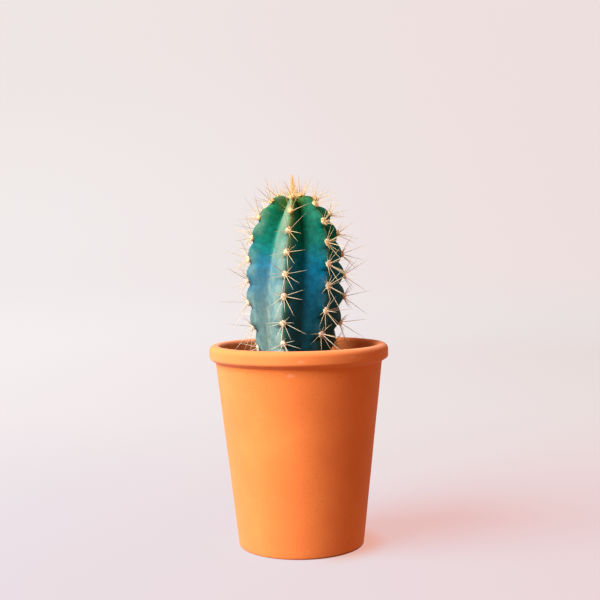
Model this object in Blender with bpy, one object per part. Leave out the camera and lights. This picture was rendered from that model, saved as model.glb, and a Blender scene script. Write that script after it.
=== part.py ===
"""Potted cactus: a young ribbed column cactus in a round terracotta pot.

Metres, +Z up. The origin is the centre of the pot's foot, and the side in the photograph faces -Y.
Run with: blender --background --python part.py
"""

import math
import random

import bmesh
import bpy
import numpy as np
from mathutils import Matrix, Vector, noise
from mathutils.geometry import interpolate_bezier

# Pot
POT_HEIGHT = 0.0901
POT_FOOT_RADIUS = 0.0280
POT_NECK_RADIUS = 0.0372
POT_NECK_HEIGHT = 0.0824
RIM_RADIUS = 0.0400
RIM_LOWER_EDGE_HEIGHT = 0.0842
RIM_THICKNESS = 0.0048
FLOOR_THICKNESS = 0.0060
FLOOR_INNER_RADIUS = 0.0238
DRAIN_RADIUS = 0.0050
POT_SIDES = 48
SMOOTH_BELOW = math.radians(40)

# Potting mix
SOIL_HEIGHT = 0.0810
SOIL_LUMP = 0.0006
SOIL_LUMP_SPACING = 0.0055
SOIL_SIDES = 40
SOIL_RINGS = 7
SOIL_FOOT_BEVEL = 0.0018
FIT_GAP = 0.0004

# Stem: each line runs from the crown's centre down to the root's end, as (radius, height above the soil).
PLANT_OFFSET_X = -0.0013
CREST_LINE = [
    (0.0000, 0.0722),
    (0.0026, 0.0742),
    (0.0060, 0.0753),
    (0.0104, 0.0735),
    (0.0161, 0.0672),
    (0.0191, 0.0604),
    (0.0212, 0.0503),
    (0.0221, 0.0400),
    (0.0220, 0.0290),
    (0.0204, 0.0195),
    (0.0183, 0.0115),
    (0.0168, 0.0050),
    (0.0136, -0.0005),
    (0.0105, -0.0060),
    (0.0065, -0.0105),
    (0.0000, -0.0120),
]
GROOVE_LINE = [
    (0.0000, 0.0720),
    (0.0014, 0.0718),
    (0.0035, 0.0706),
    (0.0062, 0.0680),
    (0.0096, 0.0632),
    (0.0124, 0.0572),
    (0.0150, 0.0488),
    (0.0165, 0.0394),
    (0.0169, 0.0290),
    (0.0164, 0.0195),
    (0.0157, 0.0115),
    (0.0150, 0.0050),
    (0.0128, -0.0005),
    (0.0103, -0.0060),
    (0.0065, -0.0105),
    (0.0000, -0.0120),
]
LINE_STEPS = 10
SLOPE_STEP = 0.0004
FOOT_BELOW = 0.0050
RIB_ANGLES = [-74.0, -11.0, 42.0, 92.0, 141.5, 189.5, 237.5]  # degrees from the front, at mid-height
RIB_TWIST = math.radians(200)  # per metre of height
TWIST_HEIGHT = 0.039
CREST_BLUNTNESS = 0.16
NOTCH_DEPTH = 0.0016
YOUNG_NOTCH_DEPTH = 0.0011
NOTCH_PLACES = [0.22, 0.28, 0.30, 0.36, 0.30, 0.26, 0.31]  # share of the way to the next areole, by rib
BUMP_ROUNDNESS = 0.8
NOTCH_NARROWING = 1.5
RIBBED_FROM, RIBBED_TO = 0.0050, 0.0860  # distances down the crest
BUMP_FADE = 0.0070
NOTCH_FULL_FROM, NOTCH_FULL_TO = 0.0300, 0.0650
SPURT_FROM, SPURT_TO = 0.0580, 0.0660  # where one season's growth set the areoles further apart
SPURT_LENGTH = 0.0022
COLUMNS_ACROSS_RIB = [-0.2, 0.0, 0.2, 1.0]
ROWS_PER_AREOLE = 5
ROOT_ROWS = 5
CROWN_ROWS = 3

# Areoles: the woolly cushions along each crest that the spines grow from.
AREOLE_SPACING = 0.0095
FIRST_AREOLES = [0.0124, 0.0096, 0.0056, 0.0110, 0.0072, 0.0128, 0.0084]
LAST_AREOLE = 0.0805
AREOLE_RADIUS = 0.00125
AREOLE_RISE = 0.0009

# Spines
SPINE_RADIUS = 0.00030
SPINE_ROOT_DEPTH = 0.00035
SPINE_LENGTH = 0.0150
YOUNG_SPINE_LENGTH = 0.0105
FULL_SPINES_FROM, FULL_SPINES_TO = 0.0150, 0.0750  # distances down the crest
SPINES_AROUND = 5
SPINE_LIFT = math.radians(14)  # off the skin, for one that points sideways
UPRIGHT_LIFT = math.radians(16)  # added to one that points up or down the crest
YOUNG_LIFT = math.radians(18)
UPPER_SHORTER = 0.44
CROWN_SPINES = 9
CROWN_SPINE_LENGTH = 0.0120
CROWN_SPINE_LEAN = math.radians(22)
CROWN_TUFT_RADIUS = 0.0014
SPINE_SIDES = 3
SOIL_CLEARANCE = 0.0022
ROOM_IN_POT = 0.0010
SEED = 7


def clear_scene():
    for item in list(bpy.data.objects):
        bpy.data.objects.remove(item)


def material(name, colour, roughness):
    made = bpy.data.materials.new(name)
    made.use_nodes = True
    shader = made.node_tree.nodes["Principled BSDF"]
    shader.inputs["Base Color"].default_value = (*colour, 1.0)
    shader.inputs["Roughness"].default_value = roughness
    made.diffuse_color = (*colour, 1.0)
    return made


def add_object(name, bm, *materials):
    """The bmesh as a new object in the scene, smooth where its faces meet at a low angle."""
    mesh = bpy.data.meshes.new(name)
    bm.to_mesh(mesh)
    bm.free()
    for item in materials:
        mesh.materials.append(item)
    mesh.shade_smooth()
    mesh.set_sharp_from_angle(angle=SMOOTH_BELOW)
    made = bpy.data.objects.new(name, mesh)
    bpy.context.scene.collection.objects.link(made)
    return made


def apply_modifiers(made):
    """The object's mesh becomes the one that its modifiers make."""
    graph = bpy.context.evaluated_depsgraph_get()
    finished = bpy.data.meshes.new_from_object(made.evaluated_get(graph))
    made.modifiers.clear()
    made.data = finished


def rounded_outline(corners):
    """Points (x, 0, z) of an outline whose corners, given as (x, z, radius, steps), are rounded by arcs."""
    points = []
    for index, (x, z, radius, steps) in enumerate(corners):
        corner = Vector((x, 0, z))
        corner_before = corners[index - 1]
        corner_after = corners[(index + 1) % len(corners)]
        before = Vector((corner_before[0], 0, corner_before[1])) - corner
        after = Vector((corner_after[0], 0, corner_after[1])) - corner
        half_angle = before.angle(after) / 2
        before.normalize()
        after.normalize()
        centre = corner + (before + after).normalized() * radius / math.sin(half_angle)
        start = corner + before * radius / math.tan(half_angle) - centre
        end = corner + after * radius / math.tan(half_angle) - centre
        points += [centre + start.slerp(end, step / steps) * radius for step in range(steps + 1)]
    return points


def turned(outline, sides, closed):
    """A bmesh of the outline turned about Z. An open outline starts and ends on Z."""
    bm = bmesh.new()
    verts = [bm.verts.new(point) for point in outline]
    edges = [bm.edges.new(pair) for pair in zip(verts, verts[1:])]
    if closed:
        edges.append(bm.edges.new((verts[-1], verts[0])))
    outline_parts = verts + edges
    axis = Vector((0, 0, 1))
    bmesh.ops.spin(bm, geom=outline_parts, axis=axis, angle=math.tau, steps=sides, use_merge=True)
    bmesh.ops.remove_doubles(bm, verts=bm.verts, dist=1e-6)
    bmesh.ops.recalc_face_normals(bm, faces=bm.faces)
    return bm


def inner_wall_radius(height):
    """The pot's inside radius at a height, between its floor and its rim."""
    share = (height - FLOOR_THICKNESS) / (POT_HEIGHT - FLOOR_THICKNESS)
    return FLOOR_INNER_RADIUS + share * (RIM_RADIUS - RIM_THICKNESS - FLOOR_INNER_RADIUS)


def make_pot(clay):
    rim_inner_radius = RIM_RADIUS - RIM_THICKNESS
    corners = [
        (DRAIN_RADIUS, 0, 0.0005, 1),
        (POT_FOOT_RADIUS, 0, 0.0016, 3),
        (POT_NECK_RADIUS, POT_NECK_HEIGHT, 0.0006, 1),
        (RIM_RADIUS, RIM_LOWER_EDGE_HEIGHT, 0.0014, 2),
        (RIM_RADIUS, POT_HEIGHT, 0.0023, 3),
        (rim_inner_radius, POT_HEIGHT, 0.0021, 3),
        (FLOOR_INNER_RADIUS, FLOOR_THICKNESS, 0.0030, 2),
        (DRAIN_RADIUS, FLOOR_THICKNESS, 0.0005, 1),
    ]
    return add_object("pot", turned(rounded_outline(corners), POT_SIDES, closed=True), clay)


def make_soil(mix, root_line):
    """Potting mix with a lumpy top, a little clear of the pot, and a plain hole for the stem's foot."""
    bottom = FLOOR_THICKNESS + FIT_GAP
    bevel_top = bottom + SOIL_FOOT_BEVEL
    edge = inner_wall_radius(SOIL_HEIGHT) - FIT_GAP
    outline = [
        Vector((0, 0, bottom)),
        Vector((inner_wall_radius(bottom) - FIT_GAP - SOIL_FOOT_BEVEL, 0, bottom)),
        Vector((inner_wall_radius(bevel_top) - FIT_GAP, 0, bevel_top)),
    ]
    outline += [Vector((edge * (1 - ring / SOIL_RINGS), 0, SOIL_HEIGHT)) for ring in range(SOIL_RINGS + 1)]
    bm = turned(outline, SOIL_SIDES, closed=False)
    for vert in bm.verts:
        if vert.co.z > bevel_top and vert.co.xy.length < edge * 0.99:
            vert.co.z += SOIL_LUMP * noise.noise(vert.co / SOIL_LUMP_SPACING)
    soil = add_object("soil", bm, mix)

    wall = [Vector((radius + FIT_GAP, 0, SOIL_HEIGHT + height - FIT_GAP)) for radius, height in root_line]
    wall[-1].x = 0
    mouth = wall[0] + Vector((0, 0, SOIL_LUMP))
    top = Vector((0, 0, mouth.z))
    hole = add_object("stem_hole", turned([top, mouth, *wall], SOIL_SIDES, closed=False), mix)
    hole.location.x = PLANT_OFFSET_X
    hole.hide_render = True
    hole.display_type = "WIRE"
    cut = soil.modifiers.new("stem_hole", "BOOLEAN")
    cut.operation = "DIFFERENCE"
    cut.object = hole
    return soil


def smooth_line(corners):
    """(radius, height) points of a smooth curve through the corners."""
    knots = [Vector((radius, height)) for radius, height in corners]
    ends = [knots[0], *knots, knots[-1]]
    curve = []
    for before, start, end, after in zip(ends, ends[1:], ends[2:], ends[3:]):
        start_handle = start + (end - before) / 6
        end_handle = end - (after - start) / 6
        curve += interpolate_bezier(start, start_handle, end_handle, end, LINE_STEPS + 1)[:-1]
    return np.array([*curve, knots[-1]])


CREST = smooth_line(CREST_LINE)
GROOVE = smooth_line(GROOVE_LINE)
DISTANCE = np.concatenate([[0], np.cumsum(np.linalg.norm(np.diff(CREST, axis=0), axis=1))])
STEM_LENGTH = DISTANCE[-1]


def on_line(line, distance):
    """(radius, height) on one of the stem's lines, at a distance from the crown measured along the crest."""
    return np.array([np.interp(distance, DISTANCE, line[:, 0]), np.interp(distance, DISTANCE, line[:, 1])])


def ease(value, low, high):
    share = min(1.0, max(0.0, (value - low) / (high - low)))
    return share * share * (3 - 2 * share)


def grown(steady):
    """A distance down the crest, from what it would be had the plant always grown at one pace."""
    return steady + SPURT_LENGTH * ease(steady, SPURT_FROM, SPURT_TO)


def crest_bump(steady, rib):
    """1 on the bump that carries each areole and 0 in the notch below it. It is 1 off the ribbed length."""
    fall = (steady - FIRST_AREOLES[rib]) / AREOLE_SPACING
    bump = abs(math.sin(math.pi * (fall - NOTCH_PLACES[rib]))) ** BUMP_ROUNDNESS
    faded_in = ease(steady, RIBBED_FROM, RIBBED_FROM + BUMP_FADE)
    faded_out = ease(steady, RIBBED_TO - BUMP_FADE, RIBBED_TO)
    return 1 - (1 - bump) * faded_in * (1 - faded_out)


def outward_slope(distance):
    """(radius, height) parts of the direction that points straight out of the crest."""
    fall = on_line(CREST, distance + SLOPE_STEP) - on_line(CREST, distance - SLOPE_STEP)
    fall /= np.linalg.norm(fall)
    return np.array([-fall[1], fall[0]])


def stem_point(steady, rib, across):
    """A point on the skin, with its height from the soil. across is 0 on the crest and -1 or 1 in a groove."""
    distance = grown(steady)
    blunt_run = math.hypot(across, CREST_BLUNTNESS) - CREST_BLUNTNESS
    ridge = 1 - blunt_run / (math.hypot(1, CREST_BLUNTNESS) - CREST_BLUNTNESS)
    groove = on_line(GROOVE, distance)
    place = groove + (on_line(CREST, distance) - groove) * ridge
    age = ease(distance, NOTCH_FULL_FROM, NOTCH_FULL_TO)
    depth = YOUNG_NOTCH_DEPTH + (NOTCH_DEPTH - YOUNG_NOTCH_DEPTH) * age
    notch = depth * (1 - crest_bump(steady, rib)) * ridge**NOTCH_NARROWING
    place -= outward_slope(distance) * notch
    neighbour = (rib + 1) % len(RIB_ANGLES) if across > 0 else rib - 1
    gap = abs(RIB_ANGLES[neighbour] - RIB_ANGLES[rib])
    half_gap = math.radians(min(gap, 360 - gap)) / 2
    angle = math.radians(RIB_ANGLES[rib]) + across * half_gap + RIB_TWIST * (place[1] - TWIST_HEIGHT)
    return Vector((place[0] * math.sin(angle), -place[0] * math.cos(angle), place[1]))


def row_distances():
    """How far below the crown each ring of the stem's mesh lies."""
    step = AREOLE_SPACING / ROWS_PER_AREOLE
    ribbed_rows = round((RIBBED_TO - RIBBED_FROM) / step)
    crown = [RIBBED_FROM * row / CROWN_ROWS for row in range(CROWN_ROWS)]
    ribbed = [RIBBED_FROM + step * row for row in range(ribbed_rows)]
    root_start = ribbed[-1] + step
    root_run = STEM_LENGTH - SPURT_LENGTH - root_start
    root = [root_start + root_run * row / ROOT_ROWS for row in range(ROOT_ROWS + 1)]
    return crown + ribbed + root


def make_stem(skin):
    """A sphere whose rows and columns are moved to their places on the ribbed skin."""
    rows = row_distances()
    ribs = len(RIB_ANGLES)
    columns = ribs * len(COLUMNS_ACROSS_RIB)
    bm = bmesh.new()
    bmesh.ops.create_uvsphere(bm, u_segments=columns, v_segments=len(rows) - 1, radius=1)
    for vert in bm.verts:
        row = round(math.acos(max(-1, min(1, vert.co.z))) / math.pi * (len(rows) - 1))
        column = round(math.atan2(vert.co.y, vert.co.x) / math.tau * columns) % columns
        rib, place = divmod(column, len(COLUMNS_ACROSS_RIB))
        across = COLUMNS_ACROSS_RIB[place]
        first_notch = FIRST_AREOLES[rib] + NOTCH_PLACES[rib] * AREOLE_SPACING - RIBBED_FROM
        row_shift = first_notch % (AREOLE_SPACING / ROWS_PER_AREOLE) * (1 - abs(across))
        ribbed = RIBBED_FROM < rows[row] < RIBBED_TO
        vert.co = stem_point(rows[row] + row_shift * ribbed, rib, across)
    bmesh.ops.recalc_face_normals(bm, faces=bm.faces)
    return add_object("cactus", bm, skin)


def areoles():
    """(place, axes, age) of each areole. The axes' columns point sideways, up the crest and out of it."""
    for rib, first in enumerate(FIRST_AREOLES):
        for index in range(int((LAST_AREOLE - first) / AREOLE_SPACING) + 1):
            steady = first + index * AREOLE_SPACING
            distance = grown(steady)
            place = stem_point(steady, rib, 0)
            radial = Vector((place.x, place.y, 0)).normalized()
            slope = outward_slope(distance)
            out = radial * slope[0] + Vector((0, 0, slope[1]))
            up = Vector((0, 0, slope[0])) - radial * slope[1]
            axes = Matrix((up.cross(out), up, out)).transposed()
            yield place, axes, ease(distance, FULL_SPINES_FROM, FULL_SPINES_TO)


def add_areole(place, axes, wool, group):
    bm = bmesh.new()
    bmesh.ops.create_icosphere(bm, subdivisions=1, radius=1)
    shape = Matrix.Diagonal((AREOLE_RADIUS, AREOLE_RADIUS, AREOLE_RISE)).to_4x4()
    bm.transform(Matrix.Translation(place) @ axes.to_4x4() @ shape)
    move_to_group(add_object("areole", bm, wool), group)


def add_spine(root, direction, length, horn, group):
    """A slim cone from its root under the skin, bent up or cut short where it would meet the soil or pot."""
    direction = direction.normalized()
    lowest = (SOIL_CLEARANCE - root.z) / length
    if direction.z < lowest:
        outward = Vector((direction.x, direction.y, 0)).normalized()
        direction = outward * math.sqrt(1 - lowest**2) + Vector((0, 0, lowest))
    tip = root + direction * length
    if tip.z < POT_HEIGHT + ROOM_IN_POT - SOIL_HEIGHT:
        widest = inner_wall_radius(SOIL_HEIGHT) - abs(PLANT_OFFSET_X) - ROOM_IN_POT
        length -= max(0, tip.xy.length - widest) / max(0.5, direction.xy.length)
    bm = bmesh.new()
    bmesh.ops.create_cone(bm, cap_ends=True, segments=SPINE_SIDES, radius1=SPINE_RADIUS, depth=length)
    middle = root + direction * length / 2
    bm.transform(Matrix.Translation(middle) @ direction.to_track_quat("Z", "Y").to_matrix().to_4x4())
    move_to_group(add_object("spine", bm, horn), group)


def move_to_group(made, group):
    bpy.context.scene.collection.objects.unlink(made)
    group.objects.link(made)


def add_spines(wool, horn, group):
    """A fan of spines round each areole with one standing out of its middle, and a tuft on the crown."""
    draw = random.Random(SEED)
    for place, axes, age in areoles():
        add_areole(place, axes, wool, group)
        root = place - axes.col[2] * SPINE_ROOT_DEPTH
        reach = YOUNG_SPINE_LENGTH + (SPINE_LENGTH - YOUNG_SPINE_LENGTH) * age
        turn = draw.uniform(0, math.tau / SPINES_AROUND)
        for index in range(SPINES_AROUND):
            angle = turn + math.tau * index / SPINES_AROUND + draw.uniform(-0.2, 0.2)
            upright = math.cos(angle)
            lift = SPINE_LIFT + UPRIGHT_LIFT * abs(upright) + YOUNG_LIFT * (1 - age) + draw.uniform(-0.1, 0.1)
            flat = Vector((math.sin(angle), upright, 0)) * math.cos(lift)
            length = reach * (1 - UPPER_SHORTER * age * (1 + upright) / 2) * draw.uniform(0.80, 1.10)
            add_spine(root, axes @ (flat + Vector((0, 0, math.sin(lift)))), length, horn, group)
        middle = Vector((draw.uniform(-0.3, 0.3), draw.uniform(-0.4, 0.4), 1))
        add_spine(root, axes @ middle, reach * draw.uniform(0.75, 1.0), horn, group)
    crown = Vector((0, 0, CREST_LINE[0][1]))
    for index in range(CROWN_SPINES):
        angle = index * math.pi * (3 - math.sqrt(5))
        lean = CROWN_SPINE_LEAN * math.sqrt(index / CROWN_SPINES)
        outward = Vector((math.sin(angle), math.cos(angle), 0))
        foot = crown + outward * CROWN_TUFT_RADIUS * math.sqrt(index / CROWN_SPINES)
        direction = outward * math.sin(lean) + Vector((0, 0, math.cos(lean)))
        add_spine(foot, direction, CROWN_SPINE_LENGTH * draw.uniform(0.8, 1.0), horn, group)


def make_cactus(skin, wool, horn):
    """The stem with its areoles and spines joined to it as one grown piece."""
    cactus = make_stem(skin)
    group = bpy.data.collections.new("grown_on_stem")
    bpy.context.scene.collection.children.link(group)
    add_spines(wool, horn, group)
    join = cactus.modifiers.new("grown_on_stem", "BOOLEAN")
    join.operation = "UNION"
    join.operand_type = "COLLECTION"
    join.collection = group
    join.solver = "MANIFOLD"
    join.material_mode = "TRANSFER"
    apply_modifiers(cactus)
    for item in list(group.objects):
        bpy.data.objects.remove(item)
    bpy.data.collections.remove(group)
    return cactus


def main():
    clear_scene()
    clay = material("terracotta", (0.72, 0.24, 0.075), 0.85)
    mix = material("potting_mix", (0.055, 0.032, 0.02), 0.95)
    skin = material("cactus_skin", (0.065, 0.24, 0.25), 0.5)
    wool = material("areole_wool", (0.75, 0.60, 0.40), 0.9)
    horn = material("spine_horn", (0.72, 0.50, 0.24), 0.45)

    make_pot(clay)
    root_line = CREST[CREST[:, 1] < FOOT_BELOW][::-1]
    make_soil(mix, root_line[:: LINE_STEPS // 2][::-1])
    plant = bpy.data.objects.new("plant_axis", None)
    bpy.context.scene.collection.objects.link(plant)
    plant.location = (PLANT_OFFSET_X, 0, SOIL_HEIGHT)
    make_cactus(skin, wool, horn).parent = plant


main()
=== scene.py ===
"""Looks for the potted cactus: camera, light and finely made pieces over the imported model. Metres, +Z up."""

import math
import random
from functools import partial

import bmesh
import bpy
import numpy as np
from mathutils import Euler, Matrix, Vector, noise
from mathutils.geometry import interpolate_bezier


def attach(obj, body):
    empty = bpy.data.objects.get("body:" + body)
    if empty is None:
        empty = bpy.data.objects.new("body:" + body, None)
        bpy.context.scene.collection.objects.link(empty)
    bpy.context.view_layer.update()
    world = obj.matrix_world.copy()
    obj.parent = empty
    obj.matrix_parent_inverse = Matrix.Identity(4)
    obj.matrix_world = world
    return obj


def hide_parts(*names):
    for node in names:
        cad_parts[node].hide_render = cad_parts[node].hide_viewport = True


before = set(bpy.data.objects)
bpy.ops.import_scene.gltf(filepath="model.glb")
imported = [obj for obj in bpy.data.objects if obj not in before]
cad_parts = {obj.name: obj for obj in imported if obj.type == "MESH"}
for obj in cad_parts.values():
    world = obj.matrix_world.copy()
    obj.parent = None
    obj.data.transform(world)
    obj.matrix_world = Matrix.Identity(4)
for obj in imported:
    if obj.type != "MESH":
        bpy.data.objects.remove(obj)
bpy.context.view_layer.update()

# Camera, solved from the pot's rim, crease and foot curves
CAMERA_PLACE = (0.00091, -0.4600, 0.1307)
CAMERA_PITCH = math.radians(-2.62)
CAMERA_ROLL = math.radians(0.88)
CAMERA_LENS = 61.66
CAMERA_SENSOR = 36
CAMERA_CLIP_START = 0.01

# Light: one broad window from the left front, and a warm fill from all round
KEY_SIDE = math.radians(-62)
KEY_HEIGHT = math.radians(37)
KEY_SOFTNESS = math.radians(46)
KEY_STRENGTH = 7.6
FILL_LIGHT = (0.49, 0.21, 0.11, 1)

# Paper: the glow painted on its floor at each side, near and far, in place of the window's falloff and of the
# pink shade to the pot's right, and how much of the window's light it adds to them
PAPER_NEAR_LEFT = (0.795, 0.592, 0.630, 1)
PAPER_NEAR_RIGHT = (0.803, 0.400, 0.363, 1)
PAPER_FAR_LEFT = (0.890, 0.660, 0.640, 1)
PAPER_FAR_RIGHT = (0.770, 0.484, 0.446, 1)
PAPER_TAKES_LIGHT = (0.016, 0.128, 0.156, 1)
# (axis, start, end) of each blend between the paper's painted light and shade tones
PAPER_BLENDS = {
    "wall": ("Z", 0.0, 0.10),
    "high": ("Z", 0.15, 0.60),
    "far": ("Y", -0.08, 0.45),
    "right": ("X", -0.55, 0.55),
    "shaded_side": ("X", 0.002, 0.022),
}
# A warm bounce from the pot, painted on the paper by the pot's shaded side: full at the nearer of these
# distances from the pot's axis and gone at the farther
PAINTED_BOUNCE_FROM, PAINTED_BOUNCE_TO = 0.042, 0.028
PAINTED_BOUNCE_TINT = (1.0, 0.78, 0.64, 1.0)
SWEEP_START = 0.9
SWEEP_RADIUS = 0.9
SWEEP_STEPS = 24
SWEEP_SIDES = 96
SWEEP_WALL = 2.5

# Edges sharper than this stay sharp: on small and rough pieces, and on the pot and the stem
SHARP_ABOVE = math.radians(50)
BODY_SHARP_ABOVE = math.radians(60)

# Pot: (radius, height, rounding, steps) of the wall's corners
RIM_RADIUS = 0.0400
POT_HEIGHT = 0.0901
BAND_FOOT = 0.0842
CREASE_RADIUS, CREASE_HEIGHT = 0.0372, 0.0824
FOOT_RADIUS = 0.0281
DRAIN_RADIUS = 0.0050
FLOOR_THICKNESS = 0.0060
FLOOR_INNER_RADIUS = 0.0238
RIM_INNER_RADIUS = 0.0352
POT_CORNERS = [
    (DRAIN_RADIUS, 0.0000, 0.0005, 3),
    (FOOT_RADIUS, 0.0000, 0.0006, 6),
    (CREASE_RADIUS, CREASE_HEIGHT, 0.0006, 4),
    (RIM_RADIUS, BAND_FOOT, 0.0014, 6),
    (RIM_RADIUS, POT_HEIGHT, 0.0023, 8),
    (RIM_INNER_RADIUS, POT_HEIGHT, 0.0021, 8),
    (FLOOR_INNER_RADIUS, FLOOR_THICKNESS, 0.0030, 5),
    (DRAIN_RADIUS, FLOOR_THICKNESS, 0.0005, 3),
]
POT_SIDES = 192
WALL_RING_SPACING = 0.0030
# (spacing, height) of the wall's faint unevenness
WALL_WAVES = [(0.018, 0.00007), (0.006, 0.00003)]
# (centre, half size) of the pale lime marks that show on the pot's front
LIME_MARKS = [
    ((0.0225, -0.0331, 0.0869), (0.0022, 0.0030, 0.0008)),
    ((0.0009, -0.0400, 0.0860), (0.0020, 0.0030, 0.0007)),
    ((-0.0036, -0.0372, 0.0799), (0.0024, 0.0030, 0.0010)),
]
# The rim is a little paler than the wall
RIM_PALE_FROM, RIM_PALE_TO = 0.0835, 0.0850
# A thin painted contact shade runs along the foot, heavier on the side away from the window
FOOT_LINE_TOP, FOOT_LINE_FULL = 0.0012, 0.0003
FOOT_LINE_LEFT, FOOT_LINE_RIGHT = -0.012, 0.020

# Potting mix: (spacing, height) of its lumps and crumbs, the collar heaped round the stem, and the hole for
# the stem's foot
SOIL_HEIGHT = 0.0810
SOIL_WAVES = [(0.0055, 0.0006), (0.0014, 0.00035)]
FIT_GAP = 0.0004
SOIL_SIDES = 120
SOIL_RINGS = 34
COLLAR_RADIUS, COLLAR_WIDTH, COLLAR_HEIGHT = 0.0165, 0.003, 0.0009
HOLE_RADIUS, HOLE_LIP_RADIUS = 0.0125, 0.0142
HOLE_DEPTH = 0.0200

# Loose grains on the mix
GRAINS_TRIED = 1500
SMALL_GRAINS, LARGE_GRAINS = (0.00025, 0.0006), (0.0006, 0.0013)
SMALL_SHARE = 0.8
GRAINS_FROM = 0.0150
GRAINS_OFF_WALL = 0.0012
GRAINS_OFF_STEM = 0.0160
GRAIN_LUMP = 0.35
GRAIN_LUMPS_PER_UNIT = 1.7
GRAIN_RISE = 0.25
GRAIN_WIDTHS, GRAIN_THICKNESSES = (0.6, 1), (0.5, 0.9)

# Stem: (radius, height above the soil) from the crown's centre to the root's end
PLANT_OFFSET_X = -0.0013
CREST_LINE = [
    (0.0000, 0.0722),
    (0.0026, 0.0742),
    (0.0060, 0.0753),
    (0.0104, 0.0735),
    (0.0161, 0.0672),
    (0.0191, 0.0604),
    (0.0212, 0.0503),
    (0.0221, 0.0400),
    (0.0220, 0.0290),
    (0.0204, 0.0195),
    (0.0183, 0.0115),
    (0.0168, 0.0050),
    (0.0136, -0.0005),
    (0.0105, -0.0060),
    (0.0065, -0.0105),
    (0.0000, -0.0120),
]
GROOVE_LINE = [
    (0.0000, 0.0720),
    (0.0014, 0.0718),
    (0.0035, 0.0706),
    (0.0062, 0.0680),
    (0.0096, 0.0632),
    (0.0124, 0.0572),
    (0.0150, 0.0488),
    (0.0165, 0.0394),
    (0.0169, 0.0290),
    (0.0164, 0.0195),
    (0.0157, 0.0115),
    (0.0150, 0.0050),
    (0.0128, -0.0005),
    (0.0103, -0.0060),
    (0.0065, -0.0105),
    (0.0000, -0.0120),
]
LINE_STEPS = 10
SLOPE_STEP = 0.0004
# Each rib's angle, from the side that faces the camera, and how the ribs lean round the stem
RIB_ANGLES = [-74.0, -11.0, 42.0, 92.0, 141.5, 189.5, 237.5]
RIB_TWIST = math.radians(200)
TWIST_HEIGHT = 0.039
CREST_BLUNTNESS = 0.16
GROOVE_BLUNTNESS = 0.16
COLUMNS_ACROSS_RIB = 24
STEM_ROWS = 300

# Notches between the areoles: their depth, each rib's share of it, and each rib's place for them
NOTCH_DEPTH = 0.0016
YOUNG_NOTCH_DEPTH = 0.0011
NOTCH_SHARES = [1.5, 1.0, 1.0, 1.65, 1.0, 1.0, 1.0]
NOTCH_PLACES = [0.22, 0.28, 0.30, 0.36, 0.30, 0.26, 0.31]
BUMP_ROUNDNESS = 0.8
NOTCH_NARROWING = 3.4
RIBBED_FROM, RIBBED_TO = 0.0050, 0.0860
BUMP_FADE = 0.0070
NOTCH_FULL_FROM, NOTCH_FULL_TO = 0.0300, 0.0650

# A spurt of growth sets the older areoles a little further down
SPURT_FROM, SPURT_TO = 0.0580, 0.0660
SPURT_LENGTH = 0.0022

# (spacing, height) of the skin's gentle swellings, which start below the crown
SKIN_WAVES = [(0.012, 0.00022), (0.0045, 0.00009)]
SWELL_FROM, SWELL_TO = 0.004, 0.012

# How thick the wax bloom lies on each rib's left and right flank, and where it blends into the next rib's. It
# is laid thicker on flanks that face the window and thinner on shaded ones, so its paleness is partly painted
# light
FLANK_BLOOM_AND_LIGHT = [(0.5, 0.74), (1.0, 0.05), (0.02, 0.0), (0.1, 0.2), (0.6, 0.4), (0.5, 0.5), (0.6, 0.5)]
GROOVE_BLEND = (0.8, 1.2)
# How far the green of each rib's crest shows through
CREST_RUBBED = [0.15, 1.0, 0.9, 0.6, 0.7, 0.8, 0.5]
# Soft bands along each rib: (measured by, start, end, value at the start, value at the end)
SKIN_BANDS = {
    "green_left": ("across", -0.10, 0.04, 0.0, 1.0),
    "green_right": ("across", 0.08, 0.34, 0.85, 0.0),
    "bloom_left": ("across", -0.16, 0.02, 1.0, 0.15),
    "bloom_right": ("across", 0.10, 0.35, 0.0, 1.0),
    "by_crest": ("from_crest", 0.14, 0.55, 0.66, 0.0),
    "in_groove": ("from_crest", 0.62, 1.0, 0.0, 1.0),
}

# Areoles
AREOLE_SPACING = 0.0095
FIRST_AREOLES = [0.0124, 0.0096, 0.0056, 0.0110, 0.0072, 0.0128, 0.0084]
LAST_AREOLE = 0.0805
AREOLE_RADIUS = 0.00142
AREOLE_RISE = 0.00080
AREOLE_SIZES = (0.9, 1.08)
AREOLE_WIDTH, AREOLE_HEIGHT = 0.92, 1.05
# (lumps per unit, height) of a woolly pad
PAD_LUMPS = [(1.9, 0.30), (5.3, 0.24)]
FIBRES_ROUND_AREOLE = 110
FIBRE_RADIUS = 0.000045
FIBRE_LENGTHS = (0.0004, 0.0011)
FIBRE_LEANS = (0.3, 1.5)
FIBRE_BEND = (0.4, 0.4, 0.3)
FIBRES_OUT, FIBRES_UP = 0.8, 0.6
CROWN_PAD = (0.0021, 0.0021, 0.0012)
CROWN_PAD_RISE = 0.0002
CROWN_FIBRES = 440
CROWN_FIBRE_LENGTHS = (0.0008, 0.0020)
CROWN_FIBRES_AT = 0.0017
CROWN_FIBRES_UP = 0.9

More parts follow.
